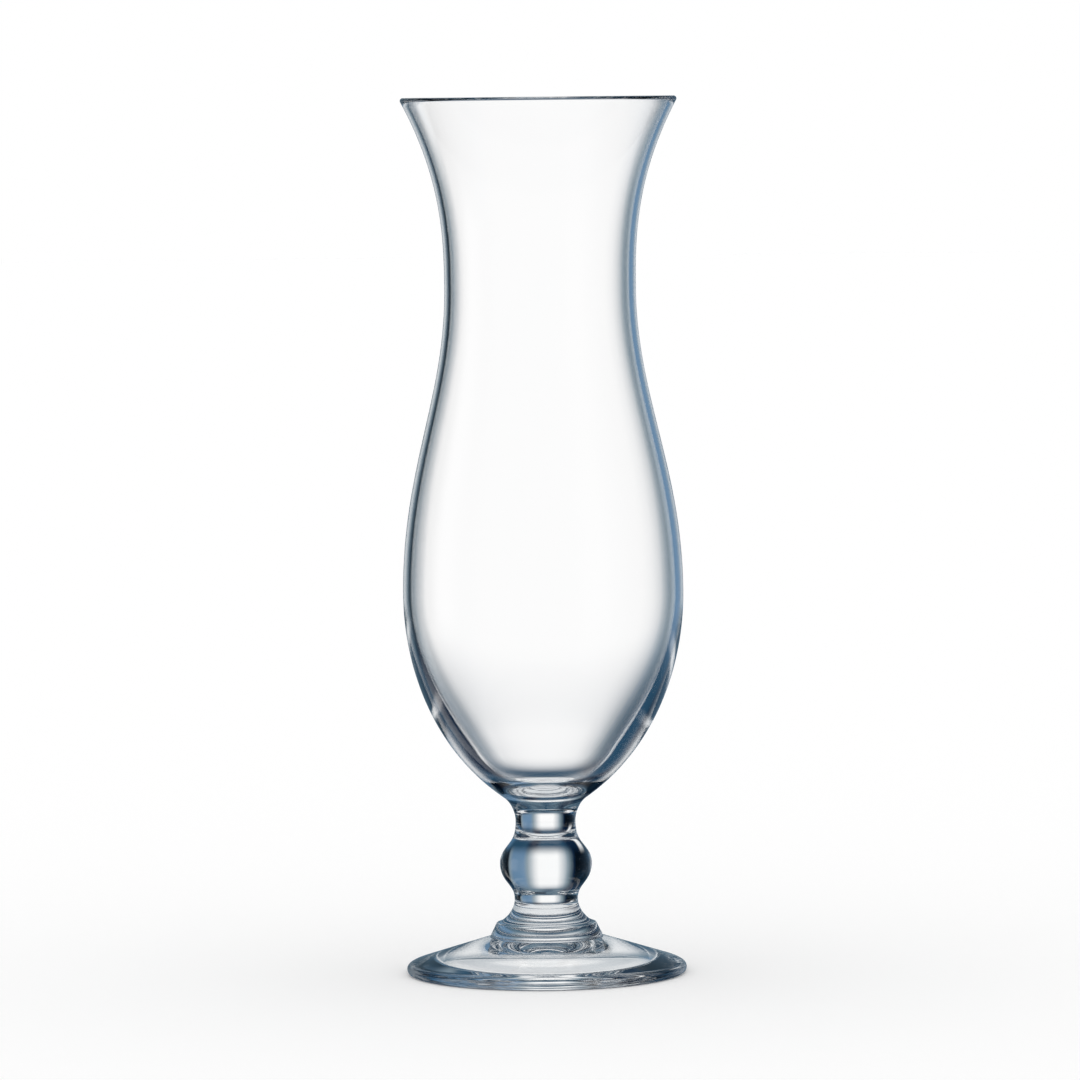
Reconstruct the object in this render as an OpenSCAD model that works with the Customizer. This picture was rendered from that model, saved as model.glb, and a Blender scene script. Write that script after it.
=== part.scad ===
// Hurricane glass on a knopped stem, in millimetres.
// Six pieces of clear glass stand on one axis and are fused end to end at flat discs:
// foot, merese, lower collar, knop, upper collar and bowl.
// The origin is the centre of the ring that the glass rests on, and +Z points up.

/* [Foot] */
// Diameter of the foot at its widest line
foot_d = 75.2; // [66:0.2:90]
// Height of the widest line above the table
foot_edge_h = 1.4; // [0.8:0.1:2.4]
// Width of the rounded edge, from the widest line in to the shoulder
foot_edge_w = 2.8; // [1.8:0.1:4.5]
// Height of the shoulder, where the rounded edge turns into the sloping top
foot_shoulder_h = 3.4; // [2.6:0.1:4.6]
// Height of the foot where the merese is fused on
foot_h = 10.4; // [9.4:0.1:14]
// Height of the fillet between the sloping top and the merese
foot_fillet_h = 0.75; // [0.4:0.05:1.5]
// Width of the fillet between the sloping top and the merese
foot_fillet_w = 0.4; // [0.2:0.05:1.2]
// Distance from the widest line in to the resting ring
ring_inset = 1.5; // [0.8:0.1:2.6]
// Diameter of the hollow under the foot
hollow_d = 57; // [40:0.5:60]
// Height of the hollow at the axis
hollow_h = 6.4; // [5.8:0.1:7.4]
// Rise of the hollow's wall at the resting ring, in degrees
hollow_rise = 23; // [14:1:26]

/* [Merese] */
// Height of the merese
merese_h = 3.1; // [1.5:0.1:6]
// Diameter of the merese where it is fused to the foot
merese_d = 29.8; // [27.4:0.2:36]
// Diameter of the merese at its upper edge
merese_top_d = 27; // [26.8:0.1:29.6]
// Rounding of the upper edge
merese_edge = 0.3; // [0.1:0.05:0.4]

/* [Lower collar] */
// Height of the lower collar
lower_collar_h = 9.3; // [7.4:0.1:14]
// Diameter of the flare where it is fused to the merese
flare_d = 26; // [22:0.2:26.2]
// Lean of the flare's wall at the merese, in degrees from upright
flare_lean = 68; // [50:1:80]
// Diameter of the lower collar at its narrowest line
lower_neck_d = 17; // [14:0.1:18.4]
// Height of the narrowest line above the merese
lower_neck_h = 6.2; // [4:0.1:8]

/* [Knop] */
// Height of the knop between its two joints
knop_h = 12.6; // [9:0.1:18]
// Diameter of the knop at its widest line
knop_d = 24.7; // [20:0.1:32]
// Height of the widest line above the lower joint
knop_widest_h = 6.7; // [4:0.1:9]
// Diameter of the joint with the lower collar
knop_low_d = 18.6; // [17.2:0.1:21]
// Lean of the wall at the lower joint, in degrees from upright
knop_low_lean = 32; // [10:1:50]
// Diameter of the joint with the upper collar
knop_top_d = 18.9; // [16.4:0.1:21]
// Lean of the wall at the upper joint, in degrees from upright
knop_top_lean = 36; // [10:1:50]

/* [Upper collar] */
// Height of the upper collar
upper_collar_h = 5.8; // [3:0.1:12]
// Diameter of the joint with the bowl, the narrowest line of the stem
neck_d = 16.1; // [12:0.1:18.6]

/* [Bowl] */
// Height of the line where the neck's sweep turns into the belly
base_h = 6.2; // [4:0.1:9]
// Diameter on that line
base_d = 22.4; // [20:0.2:28]
// Lean of the wall on that line, in degrees from upright
base_lean = 55; // [40:1:65]
// Diameter of the belly at its widest line
belly_d = 75.1; // [64:0.2:96]
// Height of the belly's widest line above the joint with the stem
belly_h = 61; // [50:0.5:90]
// Diameter of the waist at its narrowest line
waist_d = 51.2; // [40:0.2:64]
// Height of the waist above the belly's widest line
waist_rise = 82.2; // [40:0.2:110]
// Diameter of the rim
rim_d = 73.8; // [58:0.2:96]
// Height of the rim above the waist
rim_rise = 50.6; // [25:0.2:75]
// Lean of the wall at the rim, in degrees from upright
rim_lean = 28; // [5:1:40]

/* [Bowl wall] */
// Thickness of the solid base, from the joint with the stem up to the floor inside
floor_t = 9.8; // [8.8:0.1:14]
// Height of the heel above the floor inside
heel_h = 11; // [9.6:0.1:15]
// Diameter of the heel, the line where the floor has turned up into the wall
heel_d = 40.8; // [30:0.2:42]
// Lean of the wall at the heel, in degrees from upright
heel_lean = 38; // [25:1:45]
// Wall at the belly
belly_wall = 2; // [1.2:0.1:4]
// Wall at the waist
waist_wall = 1.7; // [1:0.1:4]
// Wall at the rim
rim_wall = 1.5; // [0.8:0.1:3]

/* [Hidden] */

// Straight pieces of each curve, and of a whole turn
short_steps = 12;
long_steps = 40;
lip_steps = 16;
turn_steps = 180;

// Handle lengths of each curve, as shares of the straight line between its ends
round_shares = [0.4, 0.4];
foot_edge_shares = [0.5, 0.5];
foot_shoulder_shares = [0.3, 0.41];
hollow_shares = [0.1, 0.45];
flare_shares = [0.35, 0.31];
lower_neck_shares = [0.3, 0.39];
knop_low_shares = [0.3, 0.46];
knop_top_shares = [0.39, 0.4];
upper_collar_shares = [0.41, 0.2];
base_shares = [0.21, 0.4];
belly_shares = [0.37, 0.33];
waist_shares = [0.41, 0.36];
rim_shares = [0.25, 0.46];
heel_shares = [0.48, 0.14];
floor_shares = [0.48, 0.38];

// Heights of the fused joints, from the table up
merese_z = foot_h;
lower_collar_z = merese_z + merese_h;
knop_z = lower_collar_z + lower_collar_h;
upper_collar_z = knop_z + knop_h;
bowl_z = upper_collar_z + upper_collar_h;

// Heights of the main lines of the bowl
belly_z = bowl_z + belly_h;
waist_z = belly_z + waist_rise;
rim_z = waist_z + rim_rise;
floor_z = bowl_z + floor_t;
heel_z = floor_z + heel_h;

// Directions in the outline's plane, radius first and height second
UP = [0, 1];
DOWN = -UP;
OUT = [1, 0];
IN = -OUT;

// Direction that leans outward from upright by an angle
function heading(lean) = [sin(lean), cos(lean)];

// Direction from one point to another
function towards(a, b) = (b - a) / norm(b - a);

// Points of a smooth curve from a, left out, to b. It leaves a along a_dir and meets b along b_dir.
function curve(a, a_dir, b, b_dir, handle_shares, steps) =
    let (
        chord = norm(b - a),
        a_handle = a + a_dir * chord * handle_shares[0],
        b_handle = b - b_dir * chord * handle_shares[1]
    )
    [
        for (i = [1:steps])
            let (u = i / steps, v = 1 - u)
            v^3 * a + 3 * v^2 * u * a_handle + 3 * v * u^2 * b_handle + u^3 * b
    ];

// Handle shares of the same curve, run the other way
function back(handle_shares) = [handle_shares[1], handle_shares[0]];

// Solid of revolution of an outline that starts and ends on the axis
module turned(outline) {
    rotate_extrude($fn = turn_steps)
        polygon(outline);
}

// Pressed foot: hollow underneath, flat resting ring, rounded edge and sloping top
module foot() {
    hollow_edge = [hollow_d / 2, 0];
    ring_edge = [foot_d / 2 - ring_inset, 0];
    widest = [foot_d / 2, foot_edge_h];
    shoulder = [foot_d / 2 - foot_edge_w, foot_shoulder_h];
    fillet_foot = [merese_d / 2 + foot_fillet_w, foot_h - foot_fillet_h];
    joint = [merese_d / 2, foot_h];
    slope = towards(shoulder, fillet_foot);
    hollow_wall = [cos(hollow_rise), -sin(hollow_rise)];
    color("aliceblue")
        turned(concat(
            [[0, hollow_h]],
            curve([0, hollow_h], OUT, hollow_edge, hollow_wall, hollow_shares, long_steps),
            [ring_edge],
            curve(ring_edge, OUT, widest, UP, foot_edge_shares, short_steps),
            curve(widest, UP, shoulder, slope, foot_shoulder_shares, short_steps),
            [fillet_foot],
            curve(fillet_foot, slope, joint, UP, round_shares, short_steps),
            [[0, foot_h]]
        ));
}

// Stepped ring: a low cone with a softened upper edge
module merese() {
    low = [merese_d / 2, merese_z];
    side_top = [merese_top_d / 2, lower_collar_z - merese_edge];
    face_edge = [merese_top_d / 2 - merese_edge, lower_collar_z];
    color("lightsteelblue")
        turned(concat(
            [[0, merese_z], low, side_top],
            curve(side_top, towards(low, side_top), face_edge, IN, round_shares, short_steps),
            [[0, lower_collar_z]]
        ));
}

// Spool that flares out on to the merese and narrows below the knop
module lower_collar() {
    flare = [flare_d / 2, lower_collar_z];
    neck = [lower_neck_d / 2, lower_collar_z + lower_neck_h];
    joint = [knop_low_d / 2, knop_z];
    color("lightblue")
        turned(concat(
            [[0, lower_collar_z], flare],
            curve(flare, heading(-flare_lean), neck, UP, flare_shares, long_steps),
            curve(neck, UP, joint, heading(knop_low_lean), lower_neck_shares, short_steps),
            [[0, knop_z]]
        ));
}

// Solid flattened ball
module knop() {
    low = [knop_low_d / 2, knop_z];
    widest = [knop_d / 2, knop_z + knop_widest_h];
    top = [knop_top_d / 2, upper_collar_z];
    color("aliceblue")
        turned(concat(
            [[0, knop_z], low],
            curve(low, heading(knop_low_lean), widest, UP, knop_low_shares, long_steps),
            curve(widest, UP, top, heading(-knop_top_lean), knop_top_shares, long_steps),
            [[0, upper_collar_z]]
        ));
}

// Spool between the knop and the bowl, upright where it meets the bowl
module upper_collar() {
    low = [knop_top_d / 2, upper_collar_z];
    top = [neck_d / 2, bowl_z];
    color("lightblue")
        turned(concat(
            [[0, upper_collar_z], low],
            curve(low, heading(-knop_top_lean), top, UP, upper_collar_shares, long_steps),
            [[0, bowl_z]]
        ));
}

// Blown bowl: solid base, round belly, narrow waist and flared rim with a round lip
module bowl() {
    joint = [neck_d / 2, bowl_z];
    base = [base_d / 2, bowl_z + base_h];
    belly = [belly_d / 2, belly_z];
    waist = [waist_d / 2, waist_z];
    lip_r = rim_wall / 2;
    lip = [rim_d / 2 - lip_r, rim_z - lip_r];
    rim_up = heading(rim_lean);
    rim_out = [rim_up[1], -rim_up[0]];
    rim = lip + rim_out * lip_r;
    rim_inside = lip - rim_out * lip_r;
    waist_inside = waist - OUT * waist_wall;
    belly_inside = belly - OUT * belly_wall;
    heel = [heel_d / 2, heel_z];
    lip_arc = [
        for (i = [1:lip_steps])
            let (angle = 180 * i / lip_steps)
            lip + lip_r * (rim_out * cos(angle) + rim_up * sin(angle))
    ];
    color("aliceblue")
        turned(concat(
            [[0, bowl_z], joint],
            curve(joint, UP, base, heading(base_lean), base_shares, short_steps),
            curve(base, heading(base_lean), belly, UP, belly_shares, long_steps),
            curve(belly, UP, waist, UP, waist_shares, long_steps),
            curve(waist, UP, rim, rim_up, rim_shares, long_steps),
            lip_arc,
            curve(rim_inside, -rim_up, waist_inside, DOWN, back(rim_shares), long_steps),
            curve(waist_inside, DOWN, belly_inside, DOWN, back(waist_shares), long_steps),
            curve(belly_inside, DOWN, heel, -heading(heel_lean), heel_shares, long_steps),
            curve(heel, -heading(heel_lean), [0, floor_z], IN, floor_shares, short_steps)
        ));
}

foot();
merese();
lower_collar();
knop();
upper_collar();
bowl();
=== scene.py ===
"""Hurricane glass on a knopped stem: six pieces of clear glass, their finishes, a plain stage and a camera.

Sizes in the classes are millimetres and degrees, as a glassmaker gives them. Meshes are metres, in the
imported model's frame: the origin is the centre of the resting ring, and +Z points up the axis.
"""

import logging
import math
from collections.abc import Sequence
from dataclasses import dataclass
from enum import Enum
from functools import cache

import bmesh
import bpy
from mathutils import Matrix, Vector, noise


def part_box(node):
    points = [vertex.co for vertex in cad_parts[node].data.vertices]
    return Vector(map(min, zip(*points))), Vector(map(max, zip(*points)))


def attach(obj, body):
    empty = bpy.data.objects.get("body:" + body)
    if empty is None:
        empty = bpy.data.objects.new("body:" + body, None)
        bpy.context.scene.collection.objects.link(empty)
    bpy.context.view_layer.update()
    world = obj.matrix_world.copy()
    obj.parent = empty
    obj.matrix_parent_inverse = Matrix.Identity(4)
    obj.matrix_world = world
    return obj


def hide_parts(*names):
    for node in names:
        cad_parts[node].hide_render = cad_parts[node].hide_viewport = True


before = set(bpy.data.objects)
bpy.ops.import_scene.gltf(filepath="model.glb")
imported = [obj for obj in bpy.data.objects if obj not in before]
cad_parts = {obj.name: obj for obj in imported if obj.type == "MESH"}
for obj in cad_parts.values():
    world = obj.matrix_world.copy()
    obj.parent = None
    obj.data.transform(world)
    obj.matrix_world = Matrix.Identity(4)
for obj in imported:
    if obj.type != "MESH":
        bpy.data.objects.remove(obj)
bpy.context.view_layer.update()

log = logging.getLogger("hurricane_glass")

MM = 0.001
BODY = "root"

# Straight pieces of a whole turn, which leave flats of little more than a millimetre on the belly
TURN_STEPS = 192
# Points of the outline closer than this are one point, in metres
WELD = 2e-7
# Faces within this of a seam's disc lie in it, in millimetres
SEAM_REACH = 1e-3
# Edges that turn by more than this stay sharp, in degrees
CREASE = 24

# Faces and inner mirrorings that a look may follow through the glass before it ends in black
GLASS_BOUNCES = 160
# Clear faces that a look may pass, such as the discs inside the joints
CLEAR_BOUNCES = 64

# Directions in a half section, radius first and height second
UP = Vector((0, 1))
DOWN = Vector((0, -1))
OUT = Vector((1, 0))
IN = Vector((-1, 0))

Pair = tuple[float, float]
Counts = tuple[int, int]
Colour = tuple[float, float, float, float]


class Slot(Enum):
    """Material slots of the record."""

    BLOWN = "blown_glass"
    PRESSED = "pressed_glass"


class Tone(Enum):
    """Tones of the studio that surrounds the glass, as sRGB hex values."""

    WHITE = "FFFFFF"
    PEARL = "E4E6E8"
    SILVER = "BCC4CA"
    STEEL = "8798A3"
    SLATE = "5C7484"
    AZURE = "6A8AA8"
    BLUE = "4A769C"
    DUSK = "566872"
    DEEP = "284A63"
    ZENITH = "22384A"
    NAVY = "0C2038"
    INK = "02040A"


Cards = tuple[tuple[float, Tone], ...]


def linear(hex_colour: str) -> Colour:
    """Turn an sRGB hex value into Blender's linear colour.

    Args:
        hex_colour: Six hex digits, red first.

    Returns:
        Linear red, green and blue, and an alpha of 1.
    """
    shares = [int(hex_colour[i:i + 2], 16) / 255 for i in (0, 2, 4)]
    red, green, blue = (s / 12.92 if s <= 0.04045 else ((s + 0.055) / 1.055) ** 2.4 for s in shares)
    return red, green, blue, 1.0


def add_node(
    tree: bpy.types.NodeTree,
    kind: str,
    settings: dict[str | int, object] | None = None,
    links: dict[str | int, bpy.types.NodeSocket] | None = None,
) -> bpy.types.Node:
    """Add a node with its settings and links.

    Args:
        tree: Node tree that gets the node.
        kind: Blender's name for the kind of node.
        settings: Values of the node's own properties and of its input sockets, by name or number.
        links: Output sockets that feed the node's input sockets, by name or number.

    Returns:
        The new node.
    """
    node = tree.nodes.new(kind)
    for name, value in (settings or {}).items():
        if isinstance(name, int) or name in node.inputs:
            node.inputs[name].default_value = value
        else:
            setattr(node, name, value)
    for name, socket in (links or {}).items():
        tree.links.new(socket, node.inputs[name])
    return node


def soft_step(tree: bpy.types.NodeTree, value: bpy.types.NodeSocket, span: Pair) -> bpy.types.NodeSocket:
    """Go softly from 0 to 1 over a span.

    Args:
        tree: Node tree that gets the node.
        value: Socket with the value.
        span: Where the step starts and ends, in the socket's own unit.

    Returns:
        Socket with the share from 0 to 1.
    """
    step = add_node(
        tree, "ShaderNodeMapRange",
        {"interpolation_type": "SMOOTHSTEP", "From Min": span[0], "From Max": span[1]}, {"Value": value},
    )
    return step.outputs["Result"]


def radians(span: Pair) -> Pair:
    """Both ends of a span of degrees, in radians."""
    return math.radians(span[0]), math.radians(span[1])


def heading(lean: float) -> Vector:
    """Direction in a half section that leans outward from upright by an angle in degrees."""
    return Vector((math.sin(math.radians(lean)), math.cos(math.radians(lean))))


def back(shares: Pair) -> Pair:
    """Handle shares of the same curve, run the other way."""
    return shares[1], shares[0]


@cache
def width(node: str) -> float:
    """Diameter of a CAD node, in millimetres."""
    low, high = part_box(node)
    return (high.x - low.x) / MM


@cache
def heights(node: str) -> Pair:
    """Lowest and highest point of a CAD node, in millimetres."""
    low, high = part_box(node)
    return low.z / MM, high.z / MM


@dataclass(frozen=True)
class Seam:
    """Flat disc on the axis where two pieces are fused, in millimetres."""

    height: float
    radius: float

    def holds(self, face: bmesh.types.BMFace) -> bool:
        """Whether a face of a turned mesh lies in the disc."""
        return all(
            abs(vert.co.z / MM - self.height) < SEAM_REACH
            and vert.co.xy.length / MM < self.radius + SEAM_REACH
            for vert in face.verts
        )


class HalfSection:
    """Half section of a turned piece, drawn from the axis out and back to the axis, in millimetres."""

    def __init__(self, start: Vector) -> None:
        """Start the outline.

        Args:
            start: First point, on the axis.
        """
        self.points = [start]

    def line(self, *corners: Vector) -> "HalfSection":
        """Run straight to each corner in turn."""
        self.points += corners
        return self

    def curve(self, leave: Vector, end: Vector, arrive: Vector, shares: Pair, steps: int) -> "HalfSection":
        """Run on along a smooth curve.

        Args:
            leave: Direction at the start of the curve.
            end: Point where the curve ends.
            arrive: Direction at the end of the curve.
            shares: Handle lengths, as shares of the straight line between the ends.
            steps: Straight pieces of the curve.

        Returns:
            The same half section.
        """
        start = self.points[-1]
        chord = (end - start).length
        leave_handle = start + leave * chord * shares[0]
        arrive_handle = end - arrive * chord * shares[1]
        for i in range(1, steps + 1):
            u = i / steps
            v = 1 - u
            self.points.append(
                v**3 * start + 3 * v**2 * u * leave_handle + 3 * v * u**2 * arrive_handle + u**3 * end
            )
        return self

    def half_round(self, centre: Vector, towards: Vector, over: Vector, steps: int) -> "HalfSection":
        """Run round half a circle.

        Args:
            centre: Centre of the circle.
            towards: From the centre to the first point of the half circle.
            over: From the centre to the middle of the half circle.
            steps: Straight pieces of the half circle.

        Returns:
            The same half section.
        """
        for i in range(1, steps + 1):
            angle = math.pi * i / steps
            self.points.append(centre + towards * math.cos(angle) + over * math.sin(angle))
        return self


@dataclass(frozen=True)
class FusedSeam:
    """Inside of a fused joint: the glass runs on through it, so it shows the eye nothing at all."""

    name: str = "soda_lime_glass_fused_seam"

    def material(self) -> bpy.types.Material:
        """Make the material of the disc between two fused pieces.

        Returns:
            The finish as a node material that is wholly clear.
        """
        material = bpy.data.materials.new(self.name)
        material.use_nodes = True
        tree = material.node_tree
        tree.nodes.clear()
        clear = add_node(tree, "ShaderNodeBsdfTransparent")
        add_node(tree, "ShaderNodeOutputMaterial", links={"Surface": clear.outputs[0]})
        return material


@dataclass(frozen=True)
class GlassFinish:
    """Clear soda-lime glass with a fire-polished surface.

    Fire polish leaves a skin that is bright and clear, with long shallow swells that bend what is seen
    through it, and a breath of haze where it was handled and washed. The haze comes in over a span of its
    noise. The face gloss is the share of the mirrored light that is kept where the glass is seen face on.
    """

    name: str
    tint: str
    swell_width: float
    swell_depth: float
    haze_width: float
    haze: Pair
    face_gloss: float
    haze_span: Pair = (0.45, 0.75)
    ior: float = 1.52

    def material(self) -> bpy.types.Material:
        """Make the material.

        Returns:
            The finish as a node material on Object coordinates.
        """
        material = bpy.data.materials.new(self.name)
        material.use_nodes = True
        tree = material.node_tree
        tree.nodes.clear()
        place = add_node(tree, "ShaderNodeTexCoord").outputs["Object"]
        swells = add_node(
            tree, "ShaderNodeTexNoise",
            {"Scale": 1 / (self.swell_width * MM), "Detail": 1.0, "Roughness": 0.4}, {"Vector": place},
        )
        bump = add_node(
            tree, "ShaderNodeBump",
            {"Strength": 1.0, "Distance": self.swell_depth * MM}, {"Height": swells.outputs["Fac"]},
        )
        breath = add_node(
            tree, "ShaderNodeTexNoise",
            {"Scale": 1 / (self.haze_width * MM), "Detail": 3.0, "Roughness": 0.6}, {"Vector": place},
        )
        haze = add_node(
            tree, "ShaderNodeMapRange",
            {
                "From Min": self.haze_span[0], "From Max": self.haze_span[1],
                "To Min": self.haze[0], "To Max": self.haze[1],
            },
            {"Value": breath.outputs["Fac"]},
        )
        glass = add_node(
            tree, "ShaderNodeBsdfPrincipled",
            {
                "Base Color": linear(self.tint), "IOR": self.ior, "Transmission Weight": 1.0,
                "Specular Tint": (self.face_gloss, self.face_gloss, self.face_gloss, 1.0),
            },
            {"Roughness": haze.outputs["Result"], "Normal": bump.outputs["Normal"]},
        )
        add_node(tree, "ShaderNodeOutputMaterial", links={"Surface": glass.outputs[0]})
        return material


@dataclass(frozen=True)
class Ripple:
    """Slow unevenness that hot working leaves in the form of the glass, in millimetres."""

    length: float = 26.0
    depth: float = 0.03
    calm: float = 4.0

    def apply(self, bm: bmesh.types.BMesh) -> None:
        """Push the points of a turned mesh in and out a little.

        Args:
            bm: Mesh to change, in metres.
        """
        for vert in bm.verts:
            radius = vert.co.xy.length / MM
            if radius == 0:
                continue
            swell = noise.noise(vert.co / (self.length * MM)) * self.depth * min(1, radius / self.calm)
            vert.co.xy *= 1 + swell / radius


@dataclass(frozen=True)
class Turner:
    """Turns half sections into the pieces of the glass."""

    finish: GlassFinish
    slot: Slot
    seam_finish: FusedSeam
    ripple: Ripple

    def turn(self, node: str, section: HalfSection, seams: Sequence[Seam]) -> bpy.types.Object:
        """Turn a half section round the axis and put the piece in the place of its CAD node.

        Args:
            node: CAD node that the piece stands for.
            section: Outline of the piece.
            seams: Discs of the outline that are fused to the next pieces.

        Returns:
            The piece, with smooth sides and sharp creases.
        """
        bm = bmesh.new()
        chain = [bm.verts.new((p.x * MM, 0, p.y * MM)) for p in section.points]
        edges = [bm.edges.new(pair) for pair in zip(chain, chain[1:])]
        bmesh.ops.spin(
            bm, geom=chain + edges, cent=(0, 0, 0), axis=(0, 0, 1),
            angle=math.tau, steps=TURN_STEPS, use_merge=True,
        )
        bmesh.ops.remove_doubles(bm, verts=bm.verts, dist=WELD)
        bmesh.ops.recalc_face_normals(bm, faces=bm.faces)
        for face in bm.faces:
            face.smooth = True
            face.material_index = int(any(seam.holds(face) for seam in seams))
        for edge in bm.edges:
            first, second = edge.link_faces
            turns = edge.calc_face_angle() > math.radians(CREASE)
            edge.smooth = first.material_index == second.material_index and not turns
        self.ripple.apply(bm)
        mesh = bpy.data.meshes.new(f"glass_{node}")
        bm.to_mesh(mesh)
        bm.free()
        piece = bpy.data.objects.new(f"glass_{node}", mesh)
        bpy.context.scene.collection.objects.link(piece)
        self.dress(piece, node)
        log.info("%s: %d faces", piece.name, len(mesh.polygons))
        return piece

    def dress(self, piece: bpy.types.Object, node: str) -> None:
        """Give a piece its finishes and its place in the frame.

        Args:
            piece: The turned piece.
            node: CAD node that it stands for.
        """
        for finish in (self.finish, self.seam_finish):
            piece.data.materials.append(bpy.data.materials.get(finish.name) or finish.material())
        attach(piece, BODY)
        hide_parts(node)


@dataclass
class Foot:
    """Pressed foot: hollow underneath, flat resting ring, rounded edge and sloping top."""

    edge_h: float = 1.4
    edge_w: float = 2.8
    shoulder_h: float = 3.4
    fillet_h: float = 0.75
    fillet_w: float = 0.4
    ring_inset: float = 1.5
    ring_round: float = 0.9
    hollow_d: float = 57.0
    hollow_h: float = 6.4
    hollow_rise: float = 23.0
    hollow_shares: Pair = (0.1, 0.45)
    edge_shares: Pair = (0.5, 0.5)
    shoulder_shares: Pair = (0.3, 0.41)
    round_shares: Pair = (0.4, 0.4)
    hollow_steps: int = 60
    ring_steps: int = 10
    edge_steps: int = 20
    slope_steps: int = 4
    fillet_steps: int = 12

    def half_section(self) -> HalfSection:
        """Draw the foot from the top of the hollow, round the edge and up to the joint with the stem.

        Returns:
            Outline of the foot.
        """
        radius = width("foot") / 2
        top = heights("foot")[1]
        joint = Vector((width("merese") / 2, top))
        rise = math.radians(self.hollow_rise)
        hollow_wall = Vector((math.cos(rise), -math.sin(rise)))
        hollow_edge = Vector((self.hollow_d / 2, 0))
        hollow_end = hollow_edge - hollow_wall * self.ring_round
        ring_start = hollow_edge + OUT * self.ring_round
        ring_edge = Vector((radius - self.ring_inset, 0))
        widest = Vector((radius, self.edge_h))
        shoulder = Vector((radius - self.edge_w, self.shoulder_h))
        fillet_foot = Vector((joint.x + self.fillet_w, top - self.fillet_h))
        slope = (fillet_foot - shoulder).normalized()
        section = HalfSection(Vector((0, self.hollow_h)))
        section.curve(OUT, hollow_end, hollow_wall, self.hollow_shares, self.hollow_steps)
        section.curve(hollow_wall, ring_start, OUT, self.round_shares, self.ring_steps)
        section.line(ring_edge)
        section.curve(OUT, widest, UP, self.edge_shares, self.edge_steps)
        section.curve(UP, shoulder, slope, self.shoulder_shares, self.edge_steps)
        for step in range(1, self.slope_steps + 1):
            section.line(shoulder.lerp(fillet_foot, step / self.slope_steps))
        section.curve(slope, joint, UP, self.round_shares, self.fillet_steps)
        return section.line(Vector((0, top)))

    def build(self, turner: Turner) -> list[bpy.types.Object]:
        """Turn the foot.

        Args:
            turner: Turner with the pressed finish.

        Returns:
            The one piece of the foot.
        """
        seam = Seam(heights("foot")[1], width("merese") / 2)
        return [turner.turn("foot", self.half_section(), [seam])]


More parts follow.
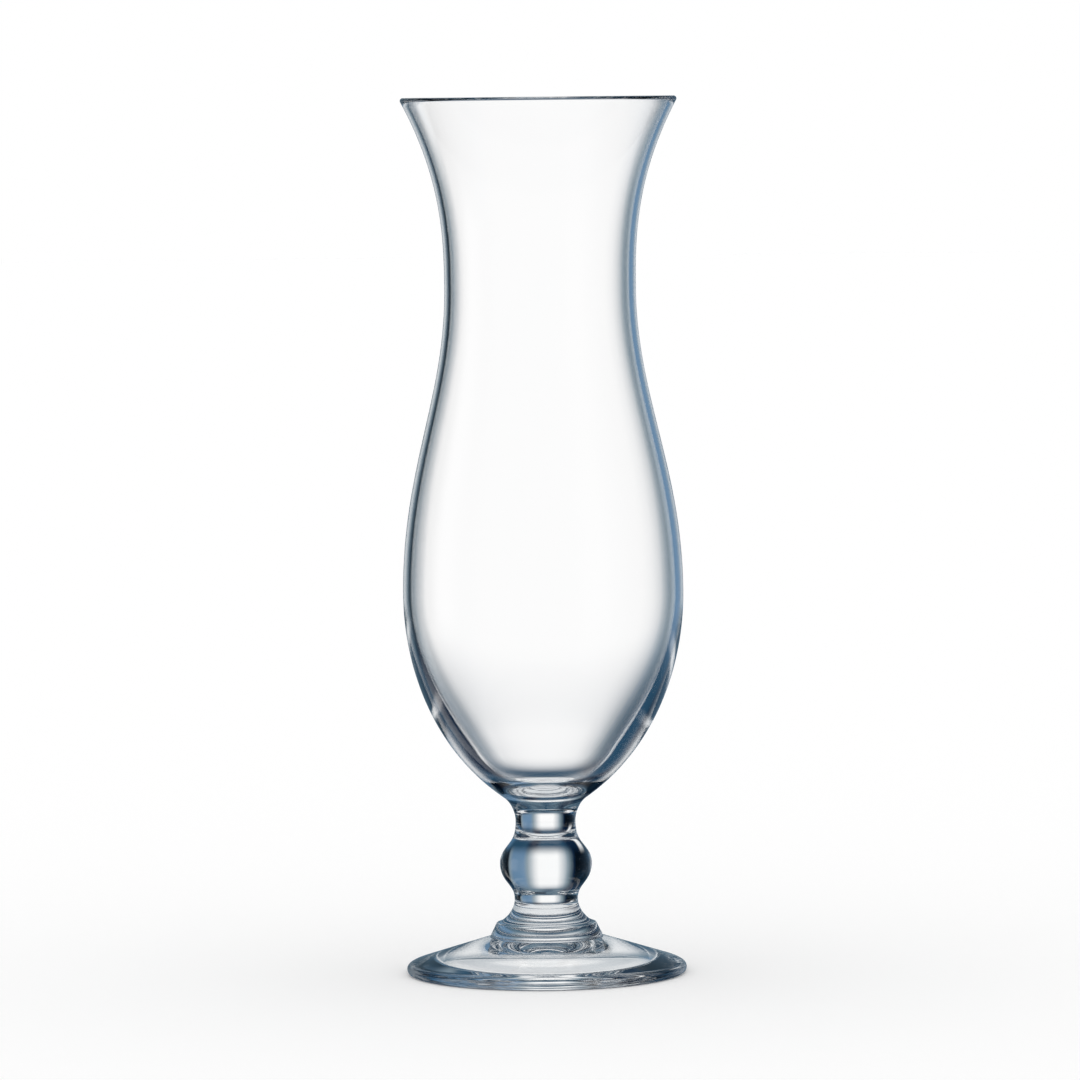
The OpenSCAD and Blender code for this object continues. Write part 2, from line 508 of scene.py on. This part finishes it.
@dataclass
class Stem:
    """Pressed stem: a stepped ring, a flared collar, a flattened ball and a second collar."""

    merese_top_d: float = 27.0
    merese_edge: float = 0.3
    flare_lean: float = 68.0
    lower_neck_d: float = 17.0
    lower_neck_h: float = 6.2
    knop_low_d: float = 18.6
    knop_low_lean: float = 32.0
    knop_widest_h: float = 6.7
    knop_top_lean: float = 36.0
    neck_d: float = 16.1
    round_shares: Pair = (0.4, 0.4)
    flare_shares: Pair = (0.35, 0.31)
    lower_neck_shares: Pair = (0.3, 0.39)
    knop_low_shares: Pair = (0.3, 0.46)
    knop_top_shares: Pair = (0.39, 0.4)
    upper_collar_shares: Pair = (0.41, 0.2)
    merese_edge_steps: int = 8
    collar_steps: int = 48
    lower_neck_steps: int = 24
    knop_steps: int = 48

    def merese(self) -> HalfSection:
        """Draw the stepped ring: a low cone with a softened upper edge.

        Returns:
            Outline of the stepped ring.
        """
        low_z, top_z = heights("merese")
        low = Vector((width("merese") / 2, low_z))
        side_top = Vector((self.merese_top_d / 2, top_z - self.merese_edge))
        face_edge = Vector((self.merese_top_d / 2 - self.merese_edge, top_z))
        side_up = (side_top - low).normalized()
        section = HalfSection(Vector((0, low_z)))
        section.line(low, low.lerp(side_top, 0.5), side_top)
        section.curve(side_up, face_edge, IN, self.round_shares, self.merese_edge_steps)
        return section.line(Vector((width("lower_collar") / 2, top_z)), Vector((0, top_z)))

    def lower_collar(self) -> HalfSection:
        """Draw the spool that flares out on to the stepped ring.

        Returns:
            Outline of the lower collar.
        """
        low_z, top_z = heights("lower_collar")
        section = HalfSection(Vector((0, low_z)))
        section.line(Vector((width("lower_collar") / 2, low_z)))
        neck = Vector((self.lower_neck_d / 2, low_z + self.lower_neck_h))
        joint = Vector((self.knop_low_d / 2, top_z))
        into_knop = heading(self.knop_low_lean)
        section.curve(heading(-self.flare_lean), neck, UP, self.flare_shares, self.collar_steps)
        section.curve(UP, joint, into_knop, self.lower_neck_shares, self.lower_neck_steps)
        return section.line(Vector((0, top_z)))

    def knop(self) -> HalfSection:
        """Draw the flattened ball.

        Returns:
            Outline of the ball.
        """
        low_z, top_z = heights("knop")
        section = HalfSection(Vector((0, low_z)))
        section.line(Vector((self.knop_low_d / 2, low_z)))
        widest = Vector((width("knop") / 2, low_z + self.knop_widest_h))
        joint = Vector((width("upper_collar") / 2, top_z))
        section.curve(heading(self.knop_low_lean), widest, UP, self.knop_low_shares, self.knop_steps)
        section.curve(UP, joint, heading(-self.knop_top_lean), self.knop_top_shares, self.knop_steps)
        return section.line(Vector((0, top_z)))

    def upper_collar(self) -> HalfSection:
        """Draw the spool between the ball and the bowl.

        Returns:
            Outline of the upper collar.
        """
        low_z, top_z = heights("upper_collar")
        section = HalfSection(Vector((0, low_z)))
        section.line(Vector((width("upper_collar") / 2, low_z)))
        joint = Vector((self.neck_d / 2, top_z))
        section.curve(heading(-self.knop_top_lean), joint, UP, self.upper_collar_shares, self.collar_steps)
        return section.line(Vector((0, top_z)))

    def build(self, turner: Turner) -> list[bpy.types.Object]:
        """Turn the four pieces of the stem, from the foot up.

        Args:
            turner: Turner with the pressed finish.

        Returns:
            The stepped ring, the lower collar, the ball and the upper collar.
        """
        on_foot = Seam(heights("merese")[0], width("merese") / 2)
        on_merese = Seam(heights("lower_collar")[0], width("lower_collar") / 2)
        under_knop = Seam(heights("knop")[0], self.knop_low_d / 2)
        over_knop = Seam(heights("knop")[1], width("upper_collar") / 2)
        under_bowl = Seam(heights("bowl")[0], self.neck_d / 2)
        return [
            turner.turn("merese", self.merese(), [on_foot, on_merese]),
            turner.turn("lower_collar", self.lower_collar(), [on_merese, under_knop]),
            turner.turn("knop", self.knop(), [under_knop, over_knop]),
            turner.turn("upper_collar", self.upper_collar(), [over_knop, under_bowl]),
        ]


@dataclass
class Bowl:
    """Blown bowl: solid base, round belly, narrow waist and flared rim with a round lip."""

    neck_d: float
    base_h: float = 6.2
    base_d: float = 22.4
    base_lean: float = 55.0
    belly_h: float = 61.0
    waist_d: float = 51.2
    waist_rise: float = 82.2
    rim_d: float = 73.8
    rim_lean: float = 28.0
    floor_t: float = 9.8
    heel_h: float = 11.0
    heel_d: float = 40.8
    heel_lean: float = 38.0
    belly_wall: float = 2.0
    waist_wall: float = 1.7
    rim_wall: float = 1.5
    base_shares: Pair = (0.21, 0.4)
    belly_shares: Pair = (0.37, 0.33)
    waist_shares: Pair = (0.41, 0.36)
    rim_shares: Pair = (0.25, 0.46)
    heel_shares: Pair = (0.48, 0.14)
    floor_shares: Pair = (0.48, 0.38)
    base_steps: int = 30
    belly_steps: int = 80
    waist_steps: int = 64
    rim_steps: int = 44
    lip_steps: int = 20
    heel_steps: int = 64
    floor_steps: int = 40

    def half_section(self) -> HalfSection:
        """Draw the bowl up the outside, over the lip and down the inside to the floor.

        Returns:
            Outline of the bowl.
        """
        low_z, rim_z = heights("bowl")
        joint = Vector((self.neck_d / 2, low_z))
        base = Vector((self.base_d / 2, low_z + self.base_h))
        base_up = heading(self.base_lean)
        belly = Vector((width("bowl") / 2, low_z + self.belly_h))
        waist = Vector((self.waist_d / 2, belly.y + self.waist_rise))
        lip_r = self.rim_wall / 2
        lip = Vector((self.rim_d / 2 - lip_r, rim_z - lip_r))
        rim_up = heading(self.rim_lean)
        rim_out = Vector((rim_up.y, -rim_up.x))
        inner_waist = waist - OUT * self.waist_wall
        inner_belly = belly - OUT * self.belly_wall
        floor = Vector((0, low_z + self.floor_t))
        heel = Vector((self.heel_d / 2, floor.y + self.heel_h))
        heel_down = -heading(self.heel_lean)
        section = HalfSection(Vector((0, low_z)))
        section.line(joint)
        section.curve(UP, base, base_up, self.base_shares, self.base_steps)
        section.curve(base_up, belly, UP, self.belly_shares, self.belly_steps)
        section.curve(UP, waist, UP, self.waist_shares, self.waist_steps)
        section.curve(UP, lip + rim_out * lip_r, rim_up, self.rim_shares, self.rim_steps)
        section.half_round(lip, rim_out * lip_r, rim_up * lip_r, self.lip_steps)
        section.curve(-rim_up, inner_waist, DOWN, back(self.rim_shares), self.rim_steps)
        section.curve(DOWN, inner_belly, DOWN, back(self.waist_shares), self.waist_steps)
        section.curve(DOWN, heel, heel_down, self.heel_shares, self.heel_steps)
        return section.curve(heel_down, floor, IN, self.floor_shares, self.floor_steps)

    def build(self, turner: Turner) -> list[bpy.types.Object]:
        """Turn the bowl.

        Args:
            turner: Turner with the blown finish.

        Returns:
            The one piece of the bowl.
        """
        seam = Seam(heights("bowl")[0], self.neck_d / 2)
        return [turner.turn("bowl", self.half_section(), [seam])]


@dataclass
class Studio:
    """Plain stage: a pale floor under even soft light, with toned cards round it that only the glass shows.

    The cards are bearings round the glass, in degrees from straight behind it as the photograph sees it,
    and positive to the right. The glass bends them into its edges, so that it stands out from the white.
    Spans of degrees are angles above the horizon, over which one row of cards gives way to the next, from
    the nadir up. Below the horizon the rows are painted floor light and shade, as the glass sees the floor.
    Two rows at the level of the horizon stand in for the row behind: painted light where the look goes
    through both walls of the bowl, and a painted reflection where the outer face of the glass mirrors it.
    """

    floor_radius: float = 8000.0
    floor_drop: float = 0.1
    floor_sides: int = 96
    # Radii of the painted glows that the glass sees on the floor: a pale ring under the hollow, and painted
    # white beside the foot where it is looked at steeply
    under_stem: Pair = (12.0, 18.0)
    under_hollow: Pair = (22.0, 25.0)
    beside_foot: Pair = (58.0, 70.0)
    steep_ratio: float = 1.75
    steep_start: float = 30.0
    steep_least: float = 105.0
    both_walls: Counts = (4, 6)
    outer_face: Counts = (0, 0)
    # Painted floor light and shade, as the glass sees the floor, which is clear to it: the pale nadir under
    # the glass, then painted shade near the foot, with painted light in its white and silver windows
    nadir: Cards = ((0, Tone.PEARL),)
    underfoot_from: Pair = (-58.0, -38.0)
    painted_floor_shade_and_light: Cards = (
        (-122, Tone.NAVY),
        (-112, Tone.BLUE),
        (-98, Tone.DEEP),
        (-72, Tone.INK),
        (-56, Tone.INK),
        (-51, Tone.WHITE),
        (-43, Tone.WHITE),
        (-40, Tone.NAVY),
        (-26, Tone.NAVY),
        (-18, Tone.DEEP),
        (4, Tone.DEEP),
        (10, Tone.NAVY),
        (16, Tone.NAVY),
        (22, Tone.DEEP),
        (46, Tone.DEEP),
        (60, Tone.BLUE),
        (84, Tone.DEEP),
        (97, Tone.NAVY),
        (118, Tone.NAVY),
        (127, Tone.SILVER),
        (143, Tone.SILVER),
        (152, Tone.NAVY),
    )
    behind_from: Pair = (-25.0, -8.5)
    behind: Cards = (
        (-31, Tone.INK),
        (-28, Tone.NAVY),
        (-24, Tone.DUSK),
        (-20, Tone.STEEL),
        (-17, Tone.SILVER),
        (-13, Tone.PEARL),
        (-10, Tone.WHITE),
        (6, Tone.WHITE),
        (10, Tone.PEARL),
        (13, Tone.SILVER),
        (17, Tone.STEEL),
        (21, Tone.AZURE),
        (36, Tone.AZURE),
        (42, Tone.STEEL),
        (46, Tone.INK),
    )
    # Painted light: the narrower white band, with grey sides, that the look through both walls of the bowl
    # gets in place of the row behind
    through: Cards = (
        (-18, Tone.STEEL),
        (-14, Tone.SILVER),
        (-10, Tone.PEARL),
        (-7, Tone.WHITE),
        (5, Tone.WHITE),
        (7, Tone.PEARL),
        (9, Tone.SILVER),
        (12, Tone.STEEL),
    )
    # Painted reflection: the tones that the outer face of the glass mirrors at the level of the horizon
    mirrored: Cards = (
        (-36, Tone.SLATE),
        (0, Tone.SLATE),
        (36, Tone.AZURE),
    )
    around: Cards = (
        (-112, Tone.ZENITH),
        (-96, Tone.WHITE),
        (-84, Tone.WHITE),
        (-72, Tone.INK),
        (100, Tone.INK),
        (118, Tone.ZENITH),
        (128, Tone.WHITE),
        (142, Tone.WHITE),
        (152, Tone.ZENITH),
    )
    overhead_from: Pair = (15.0, 30.0)
    overhead: Cards = (
        (-110, Tone.SLATE),
        (-72, Tone.INK),
        (-58, Tone.ZENITH),
        (-44, Tone.NAVY),
        (-28, Tone.NAVY),
        (-14, Tone.SLATE),
        (-2, Tone.DEEP),
        (9, Tone.SLATE),
        (22, Tone.SLATE),
        (34, Tone.DEEP),
        (46, Tone.DEEP),
        (62, Tone.NAVY),
        (90, Tone.ZENITH),
    )
    # Beyond this reach from straight behind, painted white light takes the place of the cards seen through
    # both walls of the bowl
    tinted_rise: Pair = (-24.0, -8.0)
    tinted_reach: Pair = (20.0, 42.0)
    tinted_fade: float = 4.0
    clear_from: Pair = (-46.0, -38.0)
    clear_below: float = 40.0
    # Bearings from which the painted reflection in the outer face turns white
    mirrored_from: Pair = (100.0, 130.0)

    @staticmethod
    def tone_at(
        tree: bpy.types.NodeTree, bearing: bpy.types.NodeSocket, cards: Cards
    ) -> bpy.types.NodeSocket:
        """Find the tone of a row of cards at a bearing.

        Args:
            tree: Node tree that gets the nodes.
            bearing: Socket with the bearing, in radians.
            cards: Bearings and tones, in any order.

        Returns:
            Socket with the colour.
        """
        share = add_node(
            tree, "ShaderNodeMapRange", {"From Min": -math.pi, "From Max": math.pi}, {"Value": bearing}
        )
        ramp = add_node(tree, "ShaderNodeValToRGB", links={0: share.outputs["Result"]})
        stops = ramp.color_ramp.elements
        while len(stops) > 1:
            stops.remove(stops[-1])
        for number, (degrees, tone) in enumerate(sorted(cards, key=lambda card: card[0])):
            position = 0.5 + degrees / 360
            stop = stops[0] if number == 0 else stops.new(position)
            stop.position = position
            stop.color = linear(tone.value)
        return ramp.outputs["Color"]

    @staticmethod
    def crossings(tree: bpy.types.NodeTree, faces: Counts) -> bpy.types.NodeSocket:
        """Pick out what is seen through so many faces of glass.

        Args:
            tree: Node tree that gets the nodes.
            faces: Fewest and most faces.

        Returns:
            Socket that is 1 for these and 0 for the rest.
        """
        least, most = faces
        path = add_node(tree, "ShaderNodeLightPath")
        crossed = add_node(
            tree, "ShaderNodeMath",
            {"operation": "COMPARE", 1: (least + most) / 2, 2: (most - least) / 2 + 0.5},
            {0: path.outputs["Transmission Depth"]},
        )
        return crossed.outputs[0]

    @staticmethod
    def glass_ray(tree: bpy.types.NodeTree) -> bpy.types.NodeSocket:
        """Pick out what is seen in the glass or through it.

        Args:
            tree: Node tree that gets the nodes.

        Returns:
            Socket that is 1 for these and 0 for the rest.
        """
        path = add_node(tree, "ShaderNodeLightPath")
        either = add_node(
            tree, "ShaderNodeMath", {"operation": "MAXIMUM"},
            {0: path.outputs["Is Glossy Ray"], 1: path.outputs["Is Transmission Ray"]},
        )
        return either.outputs[0]

    def cleared(
        self,
        tree: bpy.types.NodeTree,
        bearing: bpy.types.NodeSocket,
        rise: bpy.types.NodeSocket,
        tone: bpy.types.NodeSocket,
    ) -> bpy.types.NodeSocket:
        """Whiten what the bowl should show clear.

        That is what comes through both its walls, except straight behind, as painted white light, and what
        its outside mirrors from in front, as a painted white reflection.

        Args:
            tree: Node tree that gets the nodes.
            bearing: Socket with the bearing, in radians.
            rise: Socket with the angle above the horizon, in radians.
            tone: Socket with the colour of the cards.

        Returns:
            Socket with the colour.
        """
        low = add_node(
            tree, "ShaderNodeMath", {"operation": "LESS_THAN", 1: math.radians(self.clear_below)}, {0: rise}
        )
        slant = soft_step(tree, rise, radians(self.clear_from))
        level = add_node(tree, "ShaderNodeMath", {"operation": "MULTIPLY"}, {0: slant, 1: low.outputs[0]})
        hollow = add_node(
            tree, "ShaderNodeMath", {"operation": "MULTIPLY"},
            {0: self.crossings(tree, self.both_walls), 1: level.outputs[0]},
        )
        low_rise, high_rise = radians(self.tinted_rise)
        low_reach, high_reach = radians(self.tinted_reach)
        reach = add_node(
            tree, "ShaderNodeMapRange",
            {"From Min": low_rise, "From Max": high_rise, "To Min": low_reach, "To Max": high_reach},
            {"Value": rise},
        )
        aside = add_node(tree, "ShaderNodeMath", {"operation": "ABSOLUTE"}, {0: bearing})
        past = add_node(
            tree, "ShaderNodeMath", {"operation": "SUBTRACT"},
            {0: aside.outputs[0], 1: reach.outputs["Result"]},
        )
        beside = soft_step(tree, past.outputs[0], (0.0, math.radians(self.tinted_fade)))
        through = add_node(
            tree, "ShaderNodeMath", {"operation": "MULTIPLY"}, {0: hollow.outputs[0], 1: beside}
        )
        # Painted reflection: what the outer face mirrors from in front is whitened
        front = soft_step(tree, aside.outputs[0], radians(self.mirrored_from))
        mirrored = add_node(
            tree, "ShaderNodeMath", {"operation": "MULTIPLY"},
            {0: self.crossings(tree, self.outer_face), 1: front},
        )
        clear = add_node(
            tree, "ShaderNodeMath", {"operation": "MAXIMUM"},
            {0: through.outputs[0], 1: mirrored.outputs[0]},
        )
        white = add_node(
            tree, "ShaderNodeMix", {"data_type": "RGBA", 7: linear(Tone.WHITE.value)},
            {0: clear.outputs[0], 6: tone},
        )
        return white.outputs[2]

    def light(self) -> None:
        """Light the stage evenly from all round, and let the glass see the cards."""
        world = bpy.data.worlds.new("soft_studio")
        bpy.context.scene.world = world
        world.use_nodes = True
        tree = world.node_tree
        tree.nodes.clear()
        direction = add_node(tree, "ShaderNodeTexCoord").outputs["Generated"]
        parts = add_node(tree, "ShaderNodeSeparateXYZ", links={0: direction}).outputs
        bearing = add_node(
            tree, "ShaderNodeMath", {"operation": "ARCTAN2"}, {0: parts["X"], 1: parts["Y"]}
        ).outputs[0]
        rise = add_node(tree, "ShaderNodeMath", {"operation": "ARCSINE"}, {0: parts["Z"]}).outputs[0]
        level = self.tone_at(tree, bearing, self.behind + self.around)
        # Painted light through both walls of the bowl, and a painted reflection off the outer face of the
        # glass, take the place of the row behind
        for faces, cards in (
            (self.both_walls, self.through),
            (self.outer_face, self.mirrored + self.around),
        ):
            row = self.tone_at(tree, bearing, cards)
            level = add_node(
                tree, "ShaderNodeMix", {"data_type": "RGBA"},
                {0: self.crossings(tree, faces), 6: level, 7: row},
            ).outputs[2]
        # From the nadir up: painted floor light and shade, then the row at the horizon, then the row
        # overhead
        tone = self.tone_at(tree, bearing, self.nadir)
        for span, row in (
            (self.underfoot_from, self.tone_at(tree, bearing, self.painted_floor_shade_and_light)),
            (self.behind_from, level),
            (self.overhead_from, self.tone_at(tree, bearing, self.overhead)),
        ):
            share = soft_step(tree, rise, radians(span))
            tone = add_node(
                tree, "ShaderNodeMix", {"data_type": "RGBA"}, {0: share, 6: tone, 7: row}
            ).outputs[2]
        # Painted white light where the look goes through both walls of the bowl, and a painted white
        # reflection from in front
        shown = self.cleared(tree, bearing, rise, tone)
        soft = add_node(tree, "ShaderNodeBackground", {"Color": linear(Tone.WHITE.value), "Strength": 1.0})
        cards = add_node(tree, "ShaderNodeBackground", {"Strength": 1.0}, {"Color": shown})
        both = add_node(
            tree, "ShaderNodeMixShader",
            links={0: self.glass_ray(tree), 1: soft.outputs[0], 2: cards.outputs[0]},
        )
        add_node(tree, "ShaderNodeOutputWorld", links={"Surface": both.outputs[0]})

    def floor(self) -> bpy.types.Object:
        """Lay the pale floor a hair below the resting ring.

        Returns:
            The floor.
        """
        bm = bmesh.new()
        bmesh.ops.create_circle(bm, cap_ends=True, segments=self.floor_sides, radius=self.floor_radius * MM)
        bmesh.ops.translate(bm, verts=bm.verts, vec=(0, 0, -self.floor_drop * MM))
        mesh = bpy.data.meshes.new("floor")
        bm.to_mesh(mesh)
        bm.free()
        floor = bpy.data.objects.new("floor", mesh)
        bpy.context.scene.collection.objects.link(floor)
        mesh.materials.append(self.floor_finish())
        return floor

    def floor_finish(self) -> bpy.types.Material:
        """White paper: plain and matt, so that it shows only the soft shadow of the glass.

        To the glass it is clear, with painted light on it instead: a pale painted glow in a ring under its
        hollow, and painted white where it is looked through from above; the cards, with their painted floor
        shade, are seen in place of the rest.

        Returns:
            The finish as a node material on Object coordinates.
        """
        material = bpy.data.materials.new("white_paper_sweep")
        material.use_nodes = True
        tree = material.node_tree
        tree.nodes.clear()
        place = add_node(tree, "ShaderNodeTexCoord").outputs["Object"]
        reach = add_node(tree, "ShaderNodeVectorMath", {"operation": "LENGTH"}, {0: place}).outputs["Value"]
        inner, middle, outer = (
            soft_step(tree, reach, (span[0] * MM, span[1] * MM))
            for span in (self.under_stem, self.under_hollow, self.beside_foot)
        )
        # Painted light: a pale glowing ring on the floor under the hollow of the foot
        under = add_node(tree, "ShaderNodeMath", {"operation": "SUBTRACT"}, {0: inner, 1: middle})
        # Painted light: far enough from the foot, where the glass looks down on it from high enough, the
        # floor glows white
        offset = -self.steep_ratio * self.steep_start * MM
        slanted = add_node(
            tree, "ShaderNodeMath", {"operation": "MULTIPLY_ADD", 1: self.steep_ratio, 2: offset}, {0: reach}
        )
        least = add_node(
            tree, "ShaderNodeMath", {"operation": "MAXIMUM", 1: self.steep_least * MM},
            {0: slanted.outputs[0]},
        )
        length = add_node(tree, "ShaderNodeLightPath").outputs["Ray Length"]
        steep = add_node(
            tree, "ShaderNodeMath", {"operation": "GREATER_THAN"}, {0: length, 1: least.outputs[0]}
        )
        below = add_node(tree, "ShaderNodeMath", {"operation": "MULTIPLY"}, {0: outer, 1: steep.outputs[0]})
        paper = add_node(tree, "ShaderNodeBsdfDiffuse", {"Color": linear(Tone.WHITE.value)})
        # Only the glass sees the floor as clear, with these painted glows on it; the camera and the soft
        # light see plain paper
        seen = add_node(tree, "ShaderNodeBsdfTransparent").outputs[0]
        for share, tone in ((under, Tone.PEARL), (below, Tone.WHITE)):
            painted_floor_glow = add_node(tree, "ShaderNodeEmission", {"Color": linear(tone.value), "Strength": 1.0})
            seen = add_node(
                tree, "ShaderNodeMixShader", links={0: share.outputs[0], 1: seen, 2: painted_floor_glow.outputs[0]}
            ).outputs[0]
        both = add_node(
            tree, "ShaderNodeMixShader", links={0: self.glass_ray(tree), 1: paper.outputs[0], 2: seen}
        )
        add_node(tree, "ShaderNodeOutputMaterial", links={"Surface": both.outputs[0]})
        return material


@dataclass
class Viewpoint:
    """Camera where the photograph was taken from: a long lens, just below the height of the rim."""

    distance: float = 1728.5
    height: float = 234.2
    aside: float = -0.7
    look_down: float = 3.895
    roll: float = -0.6
    lens: float = 215.5
    sensor: float = 36.0
    farthest: float = 50000.0

    def place(self) -> bpy.types.Object:
        """Make the scene's camera.

        Returns:
            The camera.
        """
        data = bpy.data.cameras.new("photo_camera")
        data.sensor_width = self.sensor
        data.lens = self.lens
        data.clip_end = self.farthest * MM
        camera = bpy.data.objects.new("photo_camera", data)
        tilt = Matrix.Rotation(math.radians(90 - self.look_down), 4, "X")
        turn = Matrix.Rotation(math.radians(self.roll), 4, "Z")
        spot = Vector((self.aside, -self.distance, self.height)) * MM
        camera.matrix_world = Matrix.Translation(spot) @ tilt @ turn
        bpy.context.scene.collection.objects.link(camera)
        bpy.context.scene.camera = camera
        return camera


def set_paths() -> None:
    """Let light pass through all the walls of the glass, at plain colours."""
    scene = bpy.context.scene
    scene.view_settings.view_transform = "Standard"
    scene.cycles.max_bounces = GLASS_BOUNCES
    scene.cycles.transmission_bounces = GLASS_BOUNCES
    scene.cycles.glossy_bounces = GLASS_BOUNCES
    scene.cycles.transparent_max_bounces = CLEAR_BOUNCES


def main() -> None:
    """Set the camera and the stage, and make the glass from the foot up."""
    logging.basicConfig(level=logging.INFO, format="%(name)s: %(message)s")
    set_paths()
    Viewpoint().place()
    studio = Studio()
    studio.light()
    studio.floor()
    # Pressed in a mould and flamed: short swells, and the full gloss of thick glass
    pressed_glass = GlassFinish(
        "soda_lime_glass_pressed_fire_polished", tint="FDFEFE",
        swell_width=9.0, swell_depth=0.004, haze_width=14.0, haze=(0.0, 0.004), face_gloss=1.0,
    )
    # Blown: long swells, and little gloss face on, so that the eye goes straight through the bowl
    blown_glass = GlassFinish(
        "soda_lime_glass_blown_fire_polished", tint="FEFEFE",
        swell_width=18.0, swell_depth=0.006, haze_width=22.0, haze=(0.0, 0.004), face_gloss=0.2,
    )
    seam = FusedSeam()
    ripple = Ripple()
    pressed = Turner(pressed_glass, Slot.PRESSED, seam, ripple)
    blown = Turner(blown_glass, Slot.BLOWN, seam, ripple)
    stem = Stem()
    pieces = Foot().build(pressed) + stem.build(pressed) + Bowl(stem.neck_d).build(blown)
    log.info("%d pieces", len(pieces))


if __name__ == "__main__":
    main()
